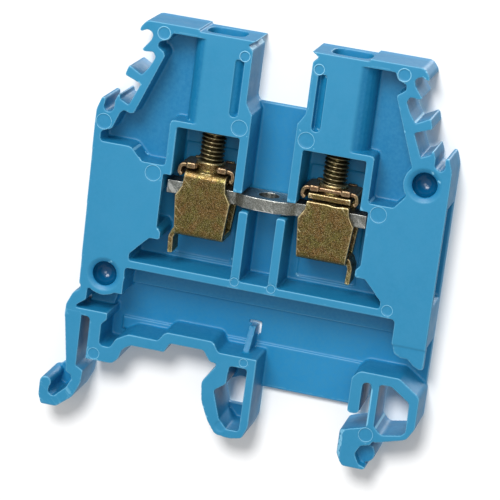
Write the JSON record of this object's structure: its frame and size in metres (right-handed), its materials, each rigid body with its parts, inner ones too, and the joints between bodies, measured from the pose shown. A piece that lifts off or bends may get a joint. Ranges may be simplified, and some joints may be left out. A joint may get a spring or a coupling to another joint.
{
  "type": "din rail terminal block",
  "caption": "Slim open-sided screw-clamp terminal block that snaps onto a top-hat rail, with rising wire cages on a shared current bar.",
  "frame": {"origin": "middle of the 35 mm rail's seat, halfway through the block's thickness", "axes": "+Z away from the rail, X across the rail from one wire entry to the other, -Y the open side, +Y the closed side"},
  "size_m": [0.0455, 0.006, 0.0483],
  "materials": {
    "blue_moulding": "satin moulded polyamide, light blue",
    "tinned_bar": "dull tin plate",
    "passivated_steel": "yellow passivated zinc, grained",
    "leaf_steel": "yellow passivated zinc, darker folds",
    "screw_steel": "yellow passivated zinc, bright thread crests"
  },
  "bodies": {
    "block": {"housing": "blue_moulding", "current_bar": "tinned_bar"},
    "foot": {"spring_foot_left": "blue_moulding"},
    "cage_left": {"clamp_cage_left": "passivated_steel", "saddle_leaf_left": "leaf_steel"},
    "cage_right": {"clamp_cage_right": "passivated_steel", "saddle_leaf_right": "leaf_steel"},
    "screw_left": {"clamp_screw_left": "screw_steel"},
    "screw_right": {"clamp_screw_right": "screw_steel"}
  },
  "joints": [
    {"name": "foot_flex", "type": "hinge", "parent": "block", "child": "foot", "pos_m": [-0.01885, 0, 0.00505], "axis": [0, 1, 0], "range_deg": [0, 7], "stiffness_Nm_per_rad": 1},
    {"name": "screw_turn_left", "type": "hinge", "parent": "block", "child": "screw_left", "pos_m": [-0.00515, -0.00037, 0.03], "axis": [0, 0, -1], "range_deg": [0, 2376]},
    {"name": "screw_turn_right", "type": "hinge", "parent": "block", "child": "screw_right", "pos_m": [0.00955, -0.00037, 0.03], "axis": [0, 0, -1], "range_deg": [0, 2376]},
    {"name": "cage_rise_left", "type": "slide", "parent": "block", "child": "cage_left", "axis": [0, 0, 1], "range_m": [0, 0.0033]},
    {"name": "cage_rise_right", "type": "slide", "parent": "block", "child": "cage_right", "axis": [0, 0, 1], "range_m": [0, 0.0033]}
  ],
  "couplings": [
    {"joint": "screw_turn_left", "follows": "cage_rise_left", "rad_per_m": 12566},
    {"joint": "screw_turn_right", "follows": "cage_rise_right", "rad_per_m": 12566}
  ]
}
